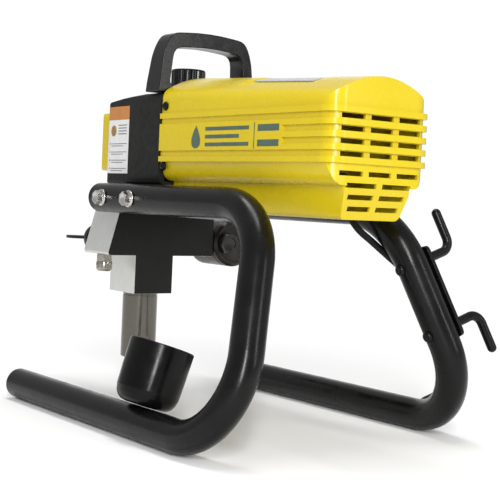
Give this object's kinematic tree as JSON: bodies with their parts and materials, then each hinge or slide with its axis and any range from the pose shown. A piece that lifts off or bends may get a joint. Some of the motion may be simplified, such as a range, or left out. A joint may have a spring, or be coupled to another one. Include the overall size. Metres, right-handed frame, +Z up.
{
  "type": "airless paint sprayer",
  "caption": "Electric airless paint sprayer: ribbed motor shroud and drive over a piston pump, on a bent-tube stand with a drip cup and cord hooks.",
  "frame": {"origin": "on the ground, under the middle of the machine's bounding box without the mains lead", "axes": "+Y towards the motor end, -Y towards the pump, +X towards the side with the drip cup and prime valve, +Z up"},
  "size_m": [0.388, 0.495, 0.4079],
  "materials": {
    "runner_paint": "semi-gloss black powder coat",
    "end_plug": "soft black",
    "zinc_plate": "bright plated",
    "cup_plastic": "semi-gloss moulded black",
    "drive_casting": "fine-textured matt dark grey paint on a casting",
    "yellow_shell": "glossy moulded plastic",
    "rating_foil": "satin plate, left blank",
    "bare_aluminium": "milled, bare",
    "stainless": "turned and brushed",
    "filter_casting": "dull darkened casting",
    "white_polymer": "white polymer",
    "copper_windings": "varnished copper",
    "black_plastic": "satin moulded black",
    "cord_rubber": "matt black sheath"
  },
  "bodies": {
    "frame": {"outlet_runner_tube": "runner_paint", "filter_runner_tube": "runner_paint", "drive_saddle": "runner_paint", "hook_plate": "runner_paint", "upper_cord_hook": "runner_paint", "lower_cord_hook": "runner_paint", "cup_peg": "runner_paint", "outlet_upper_shroud_screw": "runner_paint", "outlet_lower_shroud_screw": "runner_paint", "filter_upper_shroud_screw": "runner_paint", "filter_lower_shroud_screw": "runner_paint", "outlet_lower_plug": "end_plug", "outlet_upper_plug": "end_plug", "filter_lower_plug": "end_plug", "filter_upper_plug": "end_plug", "outlet_front_bolt": "zinc_plate", "outlet_rear_bolt": "zinc_plate", "filter_front_bolt": "zinc_plate", "filter_rear_bolt": "zinc_plate", "upper_hook_screw": "runner_paint", "lower_hook_screw": "runner_paint", "drive_housing": "drive_casting", "front_cover": "yellow_shell", "motor_shroud": "yellow_shell", "rating_plate": "rating_foil", "gearbox_cover": "bare_aluminium", "front_bearing": "stainless", "packing_nut": "zinc_plate", "pump_block": "bare_aluminium", "inlet_cylinder": "stainless", "outlet_fitting": "zinc_plate", "outlet_nut": "zinc_plate", "prime_valve": "zinc_plate", "filter_body": "filter_casting", "filter_cap": "filter_casting", "filter_element": "white_polymer", "carry_handle": "black_plastic", "knob_collar": "black_plastic", "switch_bezel": "black_plastic", "motor_front_bell": "bare_aluminium", "motor_rear_bell": "bare_aluminium", "motor_stator": "copper_windings", "power_cord": "cord_rubber", "cord_hank": "cord_rubber", "cord_gland": "cord_rubber", "mains_plug": "cord_rubber"},
    "crank": {"crankshaft": "stainless", "drive_gear": "stainless"},
    "rotor": {"motor_shaft": "stainless", "motor_pinion": "stainless", "motor_armature": "copper_windings", "cooling_fan": "black_plastic"},
    "pump_rod": {"crank_yoke": "stainless", "piston_rod": "stainless", "piston_seal": "white_polymer"},
    "inlet_valve": {"inlet_ball": "stainless"},
    "prime_handle": {"prime_knob": "black_plastic"},
    "pressure_dial": {"pressure_knob": "black_plastic"},
    "rocker": {"rocker_switch": "black_plastic"},
    "cup": {"drip_cup": "cup_plastic"}
  },
  "joints": [
    {"name": "crank_spin", "type": "hinge", "parent": "frame", "child": "crank", "pos_m": [0.00915, -0.1, 0.29296], "axis": [0, 1, 0], "continuous": true},
    {"name": "motor_spin", "type": "hinge", "parent": "frame", "child": "rotor", "pos_m": [0.00915, 0.05, 0.25696], "axis": [0, 1, 0], "continuous": true},
    {"name": "pump_stroke", "type": "slide", "parent": "frame", "child": "pump_rod", "axis": [0, 0, 1], "range_m": [-0.006, 0.006]},
    {"name": "inlet_check_lift", "type": "slide", "parent": "frame", "child": "inlet_valve", "axis": [0, 0, 1], "range_m": [0, 0.004]},
    {"name": "prime_turn", "type": "hinge", "parent": "frame", "child": "prime_handle", "pos_m": [0.04715, -0.2245, 0.17696], "axis": [0, -1, 0], "range_deg": [0, 90]},
    {"name": "pressure_turn", "type": "hinge", "parent": "frame", "child": "pressure_dial", "pos_m": [0.00915, -0.078, 0.36], "axis": [0, 0, 1], "range_deg": [0, 270]},
    {"name": "switch_rock", "type": "hinge", "parent": "frame", "child": "rocker", "pos_m": [-0.05035, -0.0595, 0.28696], "axis": [0, -1, 0], "range_deg": [0, 8]},
    {"name": "cup_lift", "type": "slide", "parent": "frame", "child": "cup", "axis": [-0.3173, 0, 0.9483], "range_m": [0, 0.06]}
  ],
  "couplings": [
    {"joint": "motor_spin", "follows": "crank_spin", "ratio": -3.5}
  ]
}
